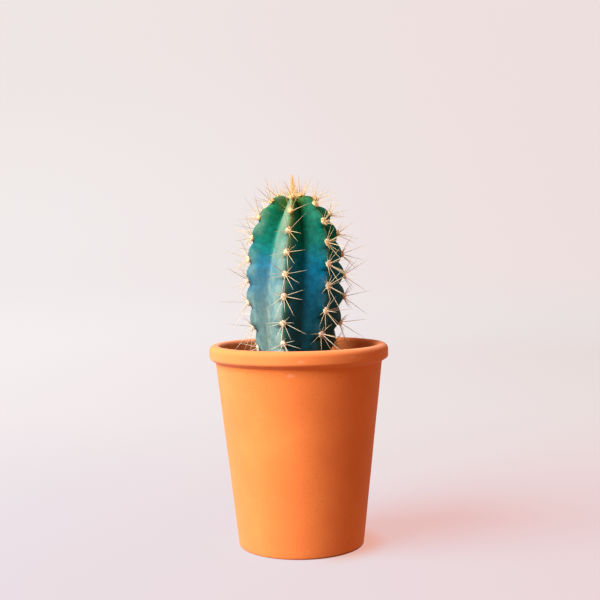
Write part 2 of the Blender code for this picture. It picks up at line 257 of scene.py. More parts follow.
# Spines: lengths and radii, then the (least, most) share that each draw takes
SPINE_RADIUS = 0.000160
SPINE_LENGTH = 0.0150
YOUNG_SPINE_LENGTH = 0.0115
FULL_SPINES_FROM, FULL_SPINES_TO = 0.0150, 0.0750
SPINES_AROUND = 9
SPINES_IN_MIDDLE = 2
SPINE_SINK = 0.0002
SPINE_RING_RADIUS = 0.0005
SPINE_LIFT = math.radians(14)
UPRIGHT_LIFT = math.radians(16)
YOUNG_LIFT = math.radians(18)
UPPER_SHORTER = 0.44
LEFT_SHORTER = 0.38
YOUNG_THINNESS, OLD_THICKENING = 0.72, 0.16
ANGLE_WANDER = (-0.32, 0.32)
LIFT_WANDER = (-0.12, 0.16)
LENGTH_SHARES = (0.45, 1.1)
RADIUS_SHARES = (0.8, 1.12)
MIDDLE_WANDER = (-0.3, 0.3)
MIDDLE_LEANS = (0.3, 0.75)
MIDDLE_DROOP = 0.15
MIDDLE_LENGTHS = (0.7, 1.05)
# (how far along, share of the radius) of a needle's rings above its foot
NEEDLE_TAPER = [(0.5, 0.74), (0.85, 0.36), (1.0, 0.06)]
NEEDLE_SIDES = 5

# Spines on the crown, and the golden spike of new ones in its middle
CROWN_SPINES = 44
CROWN_SPINE_LENGTH = 0.0122
CROWN_SPINE_THINNESS = 0.8
CROWN_SPINE_GROWTH = 0.03
CROWN_SPINE_RISE = 0.0004
CROWN_SPREAD = math.radians(38)
CROWN_SPREAD_LATE = 2.5
CROWN_EDGE_SHORTER = 0.35
CROWN_LENGTHS = (0.75, 1.0)
CROWN_TUFT_RADIUS = 0.0023
GOLDEN_ANGLE = math.pi * (3 - math.sqrt(5))
SPIKE_SPINES = 9
SPIKE_LENGTH = 0.0134
SPIKE_LENGTHS = (0.8, 1.0)
SPIKE_THICKNESS = 1.5
SPIKE_RADIUS = 0.0004
SPIKE_LEAN = 0.05
SPIKE_SPREADS = (0.3, 1.0)

# Room that the spines keep over the mix and inside the pot's wall
SOIL_CLEARANCE = 0.0015
ROOM_IN_POT = 0.0010
SEED = 11

# Patterns: the width of one cloud, grain or streak. Sand, turning lines, pores, cells and strands are drawn
# coarser than the real ones, which would be too fine to show.
CLAY_CLOUD = 0.0263
CLAY_SAND = 0.000667
LIME_SMUDGE = 0.00833
TURNING_LINE = 0.00111
MIX_CRUMB = 0.00111
GRAIN_PORE = 0.000333
SKIN_CLOUD = 0.00909
SKIN_MOTTLE = 0.00238
SKIN_CELL = 0.0004545
BLOOM_PATCH = 0.003846
BLOOM_STREAK = 0.000909
WOOL_STRAND = 0.0002857


def linear(hex_colour):
    """An sRGB hex colour as linear RGBA."""
    parts = [int(hex_colour[i : i + 2], 16) / 255 for i in (1, 3, 5)]
    return (*[p / 12.92 if p <= 0.04045 else ((p + 0.055) / 1.055) ** 2.4 for p in parts], 1.0)


def make_camera():
    camera = bpy.data.cameras.new("camera")
    camera.lens = CAMERA_LENS
    camera.sensor_width = CAMERA_SENSOR
    camera.clip_start = CAMERA_CLIP_START
    made = bpy.data.objects.new("camera", camera)
    bpy.context.scene.collection.objects.link(made)
    aim = Euler((math.pi / 2 + CAMERA_PITCH, 0, 0)).to_matrix().to_4x4()
    roll = Euler((0, 0, -CAMERA_ROLL)).to_matrix().to_4x4()
    made.matrix_world = Matrix.Translation(CAMERA_PLACE) @ aim @ roll
    bpy.context.scene.camera = made


# Meshes


def to_mesh(name, bm):
    """The bmesh as a mesh. The bmesh is freed."""
    mesh = bpy.data.meshes.new(name)
    bm.to_mesh(mesh)
    bm.free()
    return mesh


def finish_piece(name, bm, material, sharp_above=SHARP_ABOVE):
    """The bmesh as a smooth object of one material, linked to the scene."""
    mesh = to_mesh(name, bm)
    mesh.materials.append(material)
    mesh.shade_smooth()
    mesh.set_sharp_from_angle(angle=sharp_above)
    made = bpy.data.objects.new(name, mesh)
    bpy.context.scene.collection.objects.link(made)
    return made


def rounded_outline(corners):
    """Points (x, 0, z) of an outline whose corners are rounded by arcs."""
    points = []
    for index, (x, z, radius, steps) in enumerate(corners):
        corner = Vector((x, 0, z))
        corner_before = corners[index - 1]
        corner_after = corners[(index + 1) % len(corners)]
        before = Vector((corner_before[0], 0, corner_before[1])) - corner
        after = Vector((corner_after[0], 0, corner_after[1])) - corner
        half_angle = before.angle(after) / 2
        before.normalize()
        after.normalize()
        centre = corner + (before + after).normalized() * radius / math.sin(half_angle)
        start = corner + before * radius / math.tan(half_angle) - centre
        end = corner + after * radius / math.tan(half_angle) - centre
        points += [centre + start.slerp(end, step / steps) * radius for step in range(steps + 1)]
    return points


def evenly_filled(points, spacing):
    """The closed outline with points added wherever a straight stretch is longer than the spacing."""
    filled = []
    for start, end in zip(points, points[1:] + points[:1]):
        steps = max(1, round((end - start).length / spacing))
        filled += [start.lerp(end, step / steps) for step in range(steps)]
    return filled


def turned(outline, sides, closed):
    """A bmesh of the outline turned about Z. An open outline starts and ends on Z."""
    bm = bmesh.new()
    verts = [bm.verts.new(point) for point in outline]
    edges = [bm.edges.new(pair) for pair in zip(verts, verts[1:])]
    if closed:
        edges.append(bm.edges.new((verts[-1], verts[0])))
    outline_parts = verts + edges
    axis = Vector((0, 0, 1))
    bmesh.ops.spin(bm, geom=outline_parts, axis=axis, angle=math.tau, steps=sides, use_merge=True)
    bmesh.ops.remove_doubles(bm, verts=bm.verts, dist=1e-6)
    bmesh.ops.recalc_face_normals(bm, faces=bm.faces)
    return bm


def scattered(template, placements):
    """One bmesh of many copies of a small mesh. A placement is (matrix, {attribute: value})."""
    bm = bmesh.new()
    count = len(template.vertices)
    for matrix, values in placements:
        copy = template.copy()
        copy.transform(matrix)
        for name, value in values.items():
            layer = copy.attributes.new(name, "FLOAT", "POINT")
            layer.data.foreach_set("value", np.full(count, value, np.float32))
        bm.from_mesh(copy)
        bpy.data.meshes.remove(copy)
    return bm


def smooth_waves(place, waves):
    """The sum of noises with no creases at their cells' edges. The shift keeps those off the model's axes."""
    shift = Vector((3.37, 7.71, 1.43))
    return sum(
        height * noise.noise(place / spacing + shift, noise_basis="PERLIN_NEW") for spacing, height in waves
    )


def ease(value, low, high):
    """0 up to low and 1 from high on, with a smooth rise between them."""
    share = min(1.0, max(0.0, (value - low) / (high - low)))
    return share * share * (3 - 2 * share)


def in_plane(angle):
    """The level unit vector at an angle from +Y."""
    return Vector((math.sin(angle), math.cos(angle), 0))


# Pot and potting mix


def inner_wall_radius(height):
    share = (height - FLOOR_THICKNESS) / (POT_HEIGHT - FLOOR_THICKNESS)
    return FLOOR_INNER_RADIUS + share * (RIM_INNER_RADIUS - FLOOR_INNER_RADIUS)


SOIL_EDGE = inner_wall_radius(SOIL_HEIGHT) - FIT_GAP


def make_pot(clay):
    bm = turned(evenly_filled(rounded_outline(POT_CORNERS), WALL_RING_SPACING), POT_SIDES, closed=True)
    for vert in bm.verts:
        out = Vector((vert.co.x, vert.co.y, 0)).normalized()
        vert.co += out * smooth_waves(vert.co, WALL_WAVES)
    pot = finish_piece("pot_terracotta", bm, clay, BODY_SHARP_ABOVE)
    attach(pot, "root")
    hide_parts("pot")


def soil_surface(x, y):
    """The height of the potting mix's top at a place."""
    place = Vector((x, y, SOIL_HEIGHT))
    return SOIL_HEIGHT + sum(height * noise.noise(place / spacing) for spacing, height in SOIL_WAVES)


def make_soil_bed(mix):
    """The closed body of the mix. Its top is lumpy, heaped in a collar round the stem and hollow under it."""
    bottom = FLOOR_THICKNESS + FIT_GAP
    outline = [Vector((0, 0, bottom)), Vector((inner_wall_radius(bottom) - FIT_GAP, 0, bottom))]
    for ring in range(SOIL_RINGS + 1):
        outline.append(Vector((SOIL_EDGE * (1 - ring / SOIL_RINGS), 0, SOIL_HEIGHT)))
    bm = turned(outline, SOIL_SIDES, closed=False)
    for vert in bm.verts:
        if vert.co.z > SOIL_HEIGHT - FIT_GAP and vert.co.xy.length < SOIL_EDGE - FIT_GAP:
            vert.co.z = soil_surface(vert.co.x, vert.co.y)
            from_stem = (vert.co.xy - Vector((PLANT_OFFSET_X, 0))).length
            vert.co.z += COLLAR_HEIGHT * math.exp(-(((from_stem - COLLAR_RADIUS) / COLLAR_WIDTH) ** 2))
            vert.co.z -= HOLE_DEPTH * (1 - ease(from_stem, HOLE_RADIUS, HOLE_LIP_RADIUS))
    soil = finish_piece("soil_bed", bm, mix)
    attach(soil, "root")
    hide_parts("soil")


def make_grit(grit):
    """Loose crumbs and grains that lie on the mix."""
    crumb = bmesh.new()
    bmesh.ops.create_icosphere(crumb, subdivisions=2, radius=1)
    for vert in crumb.verts:
        vert.co *= 1 + GRAIN_LUMP * noise.noise(vert.co * GRAIN_LUMPS_PER_UNIT)
    template = to_mesh("crumb", crumb)
    draw = random.Random(SEED)
    placements = []
    for _ in range(GRAINS_TRIED):
        radius = math.sqrt(draw.uniform(GRAINS_FROM**2, (SOIL_EDGE - GRAINS_OFF_WALL) ** 2))
        x, y, _ = in_plane(draw.uniform(0, math.tau)) * radius
        size = draw.uniform(*(SMALL_GRAINS if draw.random() < SMALL_SHARE else LARGE_GRAINS))
        if math.hypot(x - PLANT_OFFSET_X, y) < GRAINS_OFF_STEM + size:
            continue
        width, thickness = draw.uniform(*GRAIN_WIDTHS), draw.uniform(*GRAIN_THICKNESSES)
        squash = Matrix.Diagonal((size, size * width, size * thickness, 1))
        turn = Euler([draw.uniform(0, math.tau) for _ in range(3)]).to_matrix().to_4x4()
        place = Matrix.Translation((x, y, soil_surface(x, y) + size * GRAIN_RISE))
        placements.append((place @ turn @ squash, {"kind": draw.random()}))
    pieces = finish_piece("soil_grit", scattered(template, placements), grit)
    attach(pieces, "root")


# Stem


def smooth_line(corners):
    """Points of a smooth curve through the corners."""
    knots = [Vector((radius, height)) for radius, height in corners]
    ends = [knots[0], *knots, knots[-1]]
    curve = []
    for before, start, end, after in zip(ends, ends[1:], ends[2:], ends[3:]):
        start_handle = start + (end - before) / 6
        end_handle = end - (after - start) / 6
        curve += interpolate_bezier(start, start_handle, end_handle, end, LINE_STEPS + 1)[:-1]
    return np.array([*curve, knots[-1]])


CREST = smooth_line(CREST_LINE)
GROOVE = smooth_line(GROOVE_LINE)
DISTANCE = np.concatenate([[0], np.cumsum(np.linalg.norm(np.diff(CREST, axis=0), axis=1))])
STEM_LENGTH = DISTANCE[-1]
PLANT_PLACE = Vector((PLANT_OFFSET_X, 0, SOIL_HEIGHT))
CROWN_PLACE = PLANT_PLACE + Vector((0, 0, CREST_LINE[0][1]))


def on_line(line, distance):
    """The (radius, height) at a distance along the crest from the crown's centre."""
    return np.array([np.interp(distance, DISTANCE, line[:, 0]), np.interp(distance, DISTANCE, line[:, 1])])


def grown(steady):
    """The distance along the crest after the spurt of growth."""
    return steady + SPURT_LENGTH * ease(steady, SPURT_FROM, SPURT_TO)


def blunted(value, bluntness):
    """The value's size from 0 to 1, with its sharp turn at 0 made blunt."""
    return (math.hypot(value, bluntness) - bluntness) / (math.hypot(1, bluntness) - bluntness)


def crest_bump(steady, rib):
    """1 on the bump that carries each areole and 0 in the notch below it. It is 1 off the ribbed length."""
    fall = (steady - FIRST_AREOLES[rib]) / AREOLE_SPACING
    bump = abs(math.sin(math.pi * (fall - NOTCH_PLACES[rib]))) ** BUMP_ROUNDNESS
    faded_in = ease(steady, RIBBED_FROM, RIBBED_FROM + BUMP_FADE)
    faded_out = ease(steady, RIBBED_TO - BUMP_FADE, RIBBED_TO)
    return 1 - (1 - bump) * faded_in * (1 - faded_out)


def outward_slope(distance):
    """The (radius, height) direction that points out of the crest."""
    fall = on_line(CREST, distance + SLOPE_STEP) - on_line(CREST, distance - SLOPE_STEP)
    fall /= np.linalg.norm(fall)
    return np.array([-fall[1], fall[0]])


def stem_point(steady, rib, across):
    """A point on the skin, with its height from the soil. across is 0 on a crest and -1 or 1 in a groove."""
    distance = grown(steady)
    ridge = blunted(1 - blunted(across, CREST_BLUNTNESS), GROOVE_BLUNTNESS)
    groove = on_line(GROOVE, distance)
    place = groove + (on_line(CREST, distance) - groove) * ridge
    age = ease(distance, NOTCH_FULL_FROM, NOTCH_FULL_TO)
    depth = YOUNG_NOTCH_DEPTH + (NOTCH_DEPTH - YOUNG_NOTCH_DEPTH) * age
    notch = NOTCH_SHARES[rib] * depth * (1 - crest_bump(steady, rib)) * ridge**NOTCH_NARROWING
    place -= outward_slope(distance) * notch
    neighbour = (rib + 1) % len(RIB_ANGLES) if across > 0 else rib - 1
    gap = abs(RIB_ANGLES[neighbour] - RIB_ANGLES[rib])
    half_gap = math.radians(min(gap, 360 - gap)) / 2
    angle = math.radians(RIB_ANGLES[rib]) + across * half_gap + RIB_TWIST * (place[1] - TWIST_HEIGHT)
    return Vector((place[0] * math.sin(angle), -place[0] * math.cos(angle), place[1]))


def flank_bloom_and_light(rib, across):
    """How thick the wax bloom lies at a place on a rib: real bloom, laid thicker on flanks that face the
    window as painted light.
    """
    right = across > 0
    own = FLANK_BLOOM_AND_LIGHT[rib][right]
    beside = FLANK_BLOOM_AND_LIGHT[(rib + 1) % len(FLANK_BLOOM_AND_LIGHT)][0] if right else FLANK_BLOOM_AND_LIGHT[rib - 1][1]
    return own + (beside - own) * ease(abs(across), *GROOVE_BLEND)


def make_stem(skin):
    """A sphere whose rows and columns are moved to their places on the ribbed skin."""
    ribs = len(RIB_ANGLES)
    columns = ribs * COLUMNS_ACROSS_RIB
    bm = bmesh.new()
    bmesh.ops.create_uvsphere(bm, u_segments=columns, v_segments=STEM_ROWS, radius=1)
    names = ("across", "from_crest", "growth", "fall", "bloom", "rubbed")
    layers = [bm.verts.layers.float.new(name) for name in names]
    reach = STEM_LENGTH - SPURT_LENGTH
    for vert in bm.verts:
        row = round(math.acos(max(-1, min(1, vert.co.z))) / math.pi * STEM_ROWS)
        column = round(math.atan2(vert.co.y, vert.co.x) / math.tau * columns) % columns
        rib, place = divmod(column, COLUMNS_ACROSS_RIB)
        across = 2 * place / COLUMNS_ACROSS_RIB
        if across > 1:
            rib, across = (rib + 1) % ribs, across - 2
        steady = reach * row / STEM_ROWS
        fall = (steady - FIRST_AREOLES[rib]) / AREOLE_SPACING
        # The bloom value is thicker on flanks that face the window: partly painted light
        values = (across, abs(across), steady / reach, fall, flank_bloom_and_light(rib, across), CREST_RUBBED[rib])
        for layer, value in zip(layers, values):
            vert[layer] = value
        vert.co = stem_point(steady, rib, across) + PLANT_PLACE
        swell = smooth_waves(vert.co, SKIN_WAVES) * ease(steady, SWELL_FROM, SWELL_TO)
        vert.co += Vector((vert.co.x - PLANT_OFFSET_X, vert.co.y, 0)).normalized() * swell
    bmesh.ops.recalc_face_normals(bm, faces=bm.faces)
    stem = finish_piece("stem_skin", bm, skin, BODY_SHARP_ABOVE)
    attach(stem, "root")
    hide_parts("cactus")


# Areoles and spines


def areoles():
    """(place, axes, age, growth) of each areole. The axes' columns point sideways, up the crest and out."""
    for rib, first in enumerate(FIRST_AREOLES):
        for index in range(int((LAST_AREOLE - first) / AREOLE_SPACING) + 1):
            steady = first + index * AREOLE_SPACING
            distance = grown(steady)
            place = stem_point(steady, rib, 0)
            radial = Vector((place.x, place.y, 0)).normalized()
            slope = outward_slope(distance)
            out = radial * slope[0] + Vector((0, 0, slope[1]))
            up = Vector((0, 0, slope[0])) - radial * slope[1]
            axes = Matrix((up.cross(out), up, out)).transposed()
            age = ease(distance, FULL_SPINES_FROM, FULL_SPINES_TO)
            yield place + PLANT_PLACE, axes, age, distance / STEM_LENGTH


def needle_template():
    """A needle of unit length and radius along Z, with how far along it each point is."""
    bm = bmesh.new()
    (top, radius), *upper_rings = NEEDLE_TAPER
    bmesh.ops.create_cone(bm, cap_ends=True, segments=NEEDLE_SIDES, radius1=1, radius2=radius, depth=top)
    bmesh.ops.translate(bm, verts=bm.verts, vec=(0, 0, top / 2))
    for top, radius in upper_rings:
        cap = max(bm.faces, key=lambda face: face.calc_center_median().z)
        made = bmesh.ops.extrude_discrete_faces(bm, faces=[cap])["faces"][0]
        width = made.verts[0].co.xy.length
        for vert in made.verts:
            vert.co = Vector((vert.co.x * radius / width, vert.co.y * radius / width, top))
    along = bm.verts.layers.float.new("along")
    for vert in bm.verts:
        vert[along] = vert.co.z
    return to_mesh("needle", bm)


def fibre_template():
    """A three-sided hair of unit length and radius along Z."""
    bm = bmesh.new()
    bmesh.ops.create_cone(bm, cap_ends=True, segments=3, radius1=1, radius2=0.4, depth=1)
    bmesh.ops.translate(bm, verts=bm.verts, vec=(0, 0, 0.5))
    return to_mesh("fibre", bm)


def pad_template():
    """A lumpy ball of unit radius."""
    bm = bmesh.new()
    bmesh.ops.create_icosphere(bm, subdivisions=3, radius=1)
    for vert in bm.verts:
        vert.co *= 1 + sum(height * noise.noise(vert.co * lumps) for lumps, height in PAD_LUMPS)
    return to_mesh("pad", bm)


def needle_matrix(root, direction, length, radius):
    turn = direction.to_track_quat("Z", "Y").to_matrix().to_4x4()
    return Matrix.Translation(root) @ turn @ Matrix.Diagonal((radius, radius, length, 1))


def cleared(root, direction, length):
    """(direction, length) of a spine bent up or cut short where it would meet the soil or the pot."""
    direction = direction.normalized()
    lowest = (SOIL_HEIGHT + SOIL_CLEARANCE - root.z) / length
    if direction.z < lowest:
        outward = Vector((direction.x, direction.y, 0)).normalized()
        direction = outward * math.sqrt(max(0, 1 - lowest**2)) + Vector((0, 0, lowest))
    tip = root + direction * length
    if tip.z < POT_HEIGHT + ROOM_IN_POT:
        widest = inner_wall_radius(SOIL_HEIGHT) - ROOM_IN_POT
        length -= max(0, tip.xy.length - widest) / max(0.5, direction.xy.length)
    return direction, length


def make_spines(horn):
    """A ring of spines and a few middle ones on each areole, then the crown's tuft and its spike."""
    draw = random.Random(SEED)
    placements = []

    def add(root, direction, length, radius, growth):
        direction, length = cleared(root, direction, length)
        matrix = needle_matrix(root, direction, length, radius)
        placements.append((matrix, {"growth": growth, "tint": draw.random()}))

    for place, axes, age, growth in areoles():
        root = place - axes.col[2] * SPINE_SINK
        reach = YOUNG_SPINE_LENGTH + (SPINE_LENGTH - YOUNG_SPINE_LENGTH) * age
        turn = draw.uniform(0, math.tau)
        for index in range(SPINES_AROUND):
            angle = turn + math.tau * index / SPINES_AROUND + draw.uniform(*ANGLE_WANDER)
            side = in_plane(angle)
            lift = SPINE_LIFT + UPRIGHT_LIFT * abs(side.y) + YOUNG_LIFT * (1 - age)
            lift += draw.uniform(*LIFT_WANDER)
            length = reach * (1 - UPPER_SHORTER * age * (1 + side.y) / 2) * draw.uniform(*LENGTH_SHARES)
            length *= 1 - LEFT_SHORTER * max(0, -side.x)
            radius = SPINE_RADIUS * (YOUNG_THINNESS + OLD_THICKENING * age) * draw.uniform(*RADIUS_SHARES)
            direction = side * math.cos(lift) + Vector((0, 0, math.sin(lift)))
            add(root + axes @ side * SPINE_RING_RADIUS, axes @ direction, length, radius, growth)
        for index in range(SPINES_IN_MIDDLE):
            angle = math.tau * (index + draw.uniform(*MIDDLE_WANDER)) / SPINES_IN_MIDDLE
            out = in_plane(angle) * draw.uniform(*MIDDLE_LEANS) + Vector((0, -MIDDLE_DROOP * age, 1))
            add(root, axes @ out, reach * draw.uniform(*MIDDLE_LENGTHS), SPINE_RADIUS, growth)

    crown = CROWN_PLACE + Vector((0, 0, CROWN_SPINE_RISE))
    for index in range(CROWN_SPINES):
        share = math.sqrt((index + 0.5) / CROWN_SPINES)
        outward = in_plane(index * GOLDEN_ANGLE)
        lean = CROWN_SPREAD * share**CROWN_SPREAD_LATE
        direction = outward * math.sin(lean) + Vector((0, 0, math.cos(lean)))
        length = CROWN_SPINE_LENGTH * (1 - CROWN_EDGE_SHORTER * share) * draw.uniform(*CROWN_LENGTHS)
        root = crown + outward * CROWN_TUFT_RADIUS * share
        add(root, direction, length, SPINE_RADIUS * CROWN_SPINE_THINNESS, CROWN_SPINE_GROWTH)
    for index in range(SPIKE_SPINES):
        outward = in_plane(math.tau * index / SPIKE_SPINES) * draw.uniform(*SPIKE_SPREADS)
        direction = outward * SPIKE_LEAN + Vector((-SPIKE_LEAN, 0, 1))
        length = SPIKE_LENGTH * draw.uniform(*SPIKE_LENGTHS)
        add(crown + outward * SPIKE_RADIUS, direction, length, SPINE_RADIUS * SPIKE_THICKNESS, 0.0)
    spines = finish_piece("spines", scattered(needle_template(), placements), horn)
    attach(spines, "root")
    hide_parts("cactus")


def make_wool(felt):
    """A felted pad under each cluster of spines and on the crown, with loose fibres round it."""
    draw = random.Random(SEED + 1)
    pads = []
    fibres = []
    for place, axes, age, growth in areoles():
        size = AREOLE_RADIUS * draw.uniform(*AREOLE_SIZES)
        shape = Matrix.Diagonal((size * AREOLE_WIDTH, size * AREOLE_HEIGHT, AREOLE_RISE, 1))
        turn = Matrix.Rotation(draw.uniform(0, math.tau), 4, "Z")
        pads.append((Matrix.Translation(place) @ axes.to_4x4() @ shape @ turn, {"growth": growth}))
        for _ in range(FIBRES_ROUND_AREOLE):
            side = in_plane(draw.uniform(0, math.tau))
            lean = draw.uniform(*FIBRE_LEANS)
            out = side * math.sin(lean) + Vector((0, 0, math.cos(lean)))
            reach = size * FIBRES_OUT
            start = place + axes @ Vector((out.x * reach, out.y * reach, AREOLE_RISE * FIBRES_UP))
            bend = Vector([draw.gauss(0, spread) for spread in FIBRE_BEND])
            matrix = needle_matrix(start, axes @ (out + bend), draw.uniform(*FIBRE_LENGTHS), FIBRE_RADIUS)
            fibres.append((matrix, {"growth": growth}))
    crown = CROWN_PLACE + Vector((0, 0, CROWN_PAD_RISE))
    pads.append((Matrix.Translation(crown) @ Matrix.Diagonal((*CROWN_PAD, 1)), {"growth": 0.0}))
    for _ in range(CROWN_FIBRES):
        side = in_plane(draw.uniform(0, math.tau))
        out = side * math.sqrt(draw.random()) + Vector((0, 0, CROWN_FIBRES_UP))
        start = crown + out * CROWN_FIBRES_AT
        matrix = needle_matrix(start, out, draw.uniform(*CROWN_FIBRE_LENGTHS), FIBRE_RADIUS)
        fibres.append((matrix, {"growth": 0.0}))
    pieces = (("areole_wool", pad_template(), pads), ("wool_fibres", fibre_template(), fibres))
    for name, shape, places in pieces:
        piece = finish_piece(name, scattered(shape, places), felt)
        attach(piece, "root")
        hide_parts("cactus")


# Materials

# Settings that many nodes share, and the sockets of a colour mix
SMOOTH = {"interpolation_type": "SMOOTHSTEP"}
TIMES = {"operation": "MULTIPLY"}
LARGER = {"operation": "MAXIMUM"}
COLOURS = {"data_type": "RGBA"}
TINTS = {"data_type": "RGBA", "blend_type": "MULTIPLY"}
MIX_FROM, MIX_TO, MIXED = 6, 7, 2


def add_node(tree, kind, inputs=None, stops=None, **settings):
    """Adds a node. inputs holds each socket's value or another node's output, and stops a ramp's colours."""
    node = tree.nodes.new(kind)
    for name, value in settings.items():
        setattr(node, name, value)
    for key, value in (inputs or {}).items():
        if isinstance(value, bpy.types.NodeSocket):
            tree.links.new(value, node.inputs[key])
        else:
            node.inputs[key].default_value = value
    if stops:
        elements = node.color_ramp.elements
        while len(elements) < len(stops):
            elements.new(0.5)
        for element, (place, colour) in zip(elements, stops):
            element.position = place
            element.color = linear(colour) if isinstance(colour, str) else (colour, colour, colour, 1)
    return node


def new_material(name):
    """(material, its adder of nodes, Object coordinates) of a new material."""
    material = bpy.data.materials.new(name)
    material.use_nodes = True
    add = partial(add_node, material.node_tree)
    return material, add, add("ShaderNodeTexCoord").outputs["Object"]


def coat(material, colour, bump, values):
    """Gives the material's shader its colour, relief and uniform values. Returns the shader."""
    tree = material.node_tree
    shader = tree.nodes["Principled BSDF"]
    tree.links.new(colour, shader.inputs["Base Color"])
    if bump:
        tree.links.new(bump.outputs["Normal"], shader.inputs["Normal"])
    for name, value in values.items():
        shader.inputs[name].default_value = value
    return shader


def lime_share(add, where, sand):
    """How much lime shows on the clay: faint smudges and, broken up by the sand, the marks on the front."""
    smudges = add(
        "ShaderNodeTexNoise", {"Vector": where, "Scale": 1 / LIME_SMUDGE, "Detail": 5, "Roughness": 0.62}
    )
    faint = add("ShaderNodeValToRGB", {"Fac": smudges.outputs["Fac"]}, stops=[(0.66, 0.0), (0.80, 0.22)])
    marks = 0.0
    for centre, half_size in LIME_MARKS:
        shift = [-place / half for place, half in zip(centre, half_size)]
        scale = [1 / half for half in half_size]
        oval = add("ShaderNodeMapping", {"Vector": where, "Location": shift, "Scale": scale})
        reach = add("ShaderNodeVectorMath", {0: oval.outputs[0]}, operation="LENGTH")
        mark = add(
            "ShaderNodeMapRange", {"Value": reach.outputs["Value"], "From Min": 1, "From Max": 0.2}, **SMOOTH
        )
        marks = add("ShaderNodeMath", {0: mark.outputs[0], 1: marks}, operation="ADD", use_clamp=True)
        marks = marks.outputs[0]
    marks = add("ShaderNodeMath", {0: marks, 1: sand}, **TIMES)
    lime = {0: marks.outputs[0], 1: 0.75, 2: faint.outputs["Color"]}
    return add("ShaderNodeMath", lime, operation="MULTIPLY_ADD").outputs[0]


def fired_terracotta():
    """Unglazed fired clay, turned and sponged smooth: dull, warm, finely speckled, with faint lime marks, a
    rim a little paler than the wall, and a painted contact shade along the foot.
    """
    material, add, where = new_material("fired_terracotta")
    clouds = add(
        "ShaderNodeTexNoise", {"Vector": where, "Scale": 1 / CLAY_CLOUD, "Detail": 4, "Roughness": 0.6}
    )
    clay = add(
        "ShaderNodeValToRGB",
        {"Fac": clouds.outputs["Fac"]},
        stops=[(0.30, "#DF7A30"), (0.52, "#E67F34"), (0.72, "#EA873A")],
    )
    sand = add(
        "ShaderNodeTexNoise", {"Vector": where, "Scale": 1 / CLAY_SAND, "Detail": 3, "Roughness": 0.7}
    )
    sand = sand.outputs["Fac"]
    sand_tone = add("ShaderNodeValToRGB", {"Fac": sand}, stops=[(0.30, 0.80), (0.50, 1.0), (0.72, 1.08)])
    speckled = add(
        "ShaderNodeMix",
        {0: 0.55, MIX_FROM: clay.outputs["Color"], MIX_TO: sand_tone.outputs["Color"]},
        **TINTS,
    )
    place = add("ShaderNodeSeparateXYZ", {"Vector": where})
    # The rim a little paler than the wall
    rim_pale = add(
        "ShaderNodeMapRange",
        {"Value": place.outputs["Z"], "From Min": RIM_PALE_FROM, "From Max": RIM_PALE_TO, "To Max": 0.06},
        **SMOOTH,
    )
    lime = add("ShaderNodeMath", {0: lime_share(add, where, sand), 1: rim_pale.outputs[0]}, operation="ADD")
    limed = add(
        "ShaderNodeMix",
        {0: lime.outputs[0], MIX_FROM: speckled.outputs[MIXED], MIX_TO: linear("#EBB493")},
        **COLOURS,
    )
    # A painted contact shade along the foot, heavier on the side away from the window
    at_foot = add(
        "ShaderNodeMapRange",
        {"Value": place.outputs["Z"], "From Min": FOOT_LINE_TOP, "From Max": FOOT_LINE_FULL},
        **SMOOTH,
    )
    sides = {"Value": place.outputs["X"], "From Min": FOOT_LINE_LEFT, "From Max": FOOT_LINE_RIGHT}
    far_side = add("ShaderNodeMapRange", {**sides, "To Min": 0.35}, **SMOOTH)
    painted_foot_shade = add("ShaderNodeMath", {0: at_foot.outputs[0], 1: far_side.outputs[0]}, **TIMES)
    footed = add(
        "ShaderNodeMix",
        {0: painted_foot_shade.outputs[0], MIX_FROM: limed.outputs[MIXED], MIX_TO: linear("#5E2412")},
        **COLOURS,
    )
    # The noise is drawn out sideways, so that the turning lines run round the pot
    stretched = add(
        "ShaderNodeMapping", {"Vector": where, "Scale": (0.12, 0.12, 1), "Location": (0.313, 0.227, 0)}
    )
    turning = add(
        "ShaderNodeTexNoise",
        {"Vector": stretched.outputs[0], "Scale": 1 / TURNING_LINE, "Detail": 2, "Roughness": 0.5},
    )
    relief = add("ShaderNodeMath", {0: turning.outputs["Fac"], 1: 0.5, 2: sand}, operation="MULTIPLY_ADD")
    bump = add("ShaderNodeBump", {"Height": relief.outputs[0], "Strength": 0.35, "Distance": 0.00015})
    coat(
        material,
        footed.outputs[MIXED],
        bump,
        {"Roughness": 0.82, "Specular IOR Level": 0.35, "Sheen Weight": 0.17, "Sheen Roughness": 0.6},
    )
    return material


def damp_potting_mix():
    """Peat and bark potting mix: near-black brown, rough and crumbly, taking almost no light."""
    material, add, where = new_material("damp_potting_mix")
    crumbs = add(
        "ShaderNodeTexNoise", {"Vector": where, "Scale": 1 / MIX_CRUMB, "Detail": 6, "Roughness": 0.7}
    )
    colour = add(
        "ShaderNodeValToRGB",
        {"Fac": crumbs.outputs["Fac"]},
        stops=[(0.30, "#1C130D"), (0.55, "#3A281B"), (0.75, "#5E4531")],
    )
    bump = add("ShaderNodeBump", {"Height": crumbs.outputs["Fac"], "Strength": 0.9, "Distance": 0.0005})
    coat(material, colour.outputs["Color"], bump, {"Roughness": 0.95})
    return material


